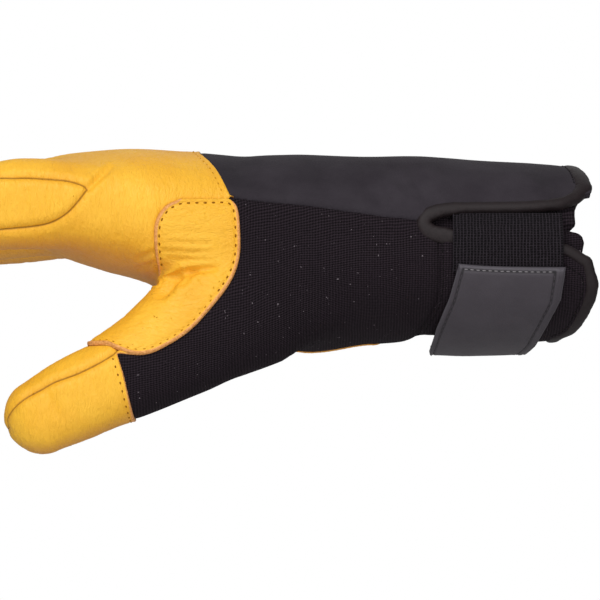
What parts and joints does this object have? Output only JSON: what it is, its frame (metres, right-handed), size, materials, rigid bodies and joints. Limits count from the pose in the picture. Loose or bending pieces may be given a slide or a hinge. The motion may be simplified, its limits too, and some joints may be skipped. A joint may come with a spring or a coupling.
{
  "type": "mountaineering glove",
  "caption": "Right-hand padded glove with leather palm and fingers, softshell back, knitted thumb side and a split cuff with a wrist strap.",
  "frame": {"origin": "middle of the wrist, under the strap", "axes": "-X along the fingers and +X out of the cuff, +Z out of the back of the hand, -Y to the thumb side"},
  "size_m": [0.2741, 0.1117, 0.1023],
  "materials": {
    "leather": "smooth yellow goatskin, slightly glossy",
    "softshell": "matt stretch softshell cloth",
    "knit": "fine knitted stretch cloth",
    "binding": "folded stretch tape",
    "webbing": "woven elastic",
    "tab": "matt dark leatherette with a stitched border"
  },
  "bodies": {
    "root": {"leather_trank": "leather", "index_side_panel": "leather", "fourchette_index_middle": "leather", "fourchette_middle_ring": "leather", "fourchette_ring_little": "leather", "thumb_patch": "leather", "thumb_cap_front": "leather", "thumb_cap_back": "leather", "softshell_back": "softshell", "knit_panel": "knit", "cuff_palm_panel": "knit", "cuff_gusset": "knit", "cuff_binding_back": "binding", "cuff_binding_palm": "binding", "strap_elastic": "webbing", "strap_tab": "tab"}
  },
  "joints": []
}
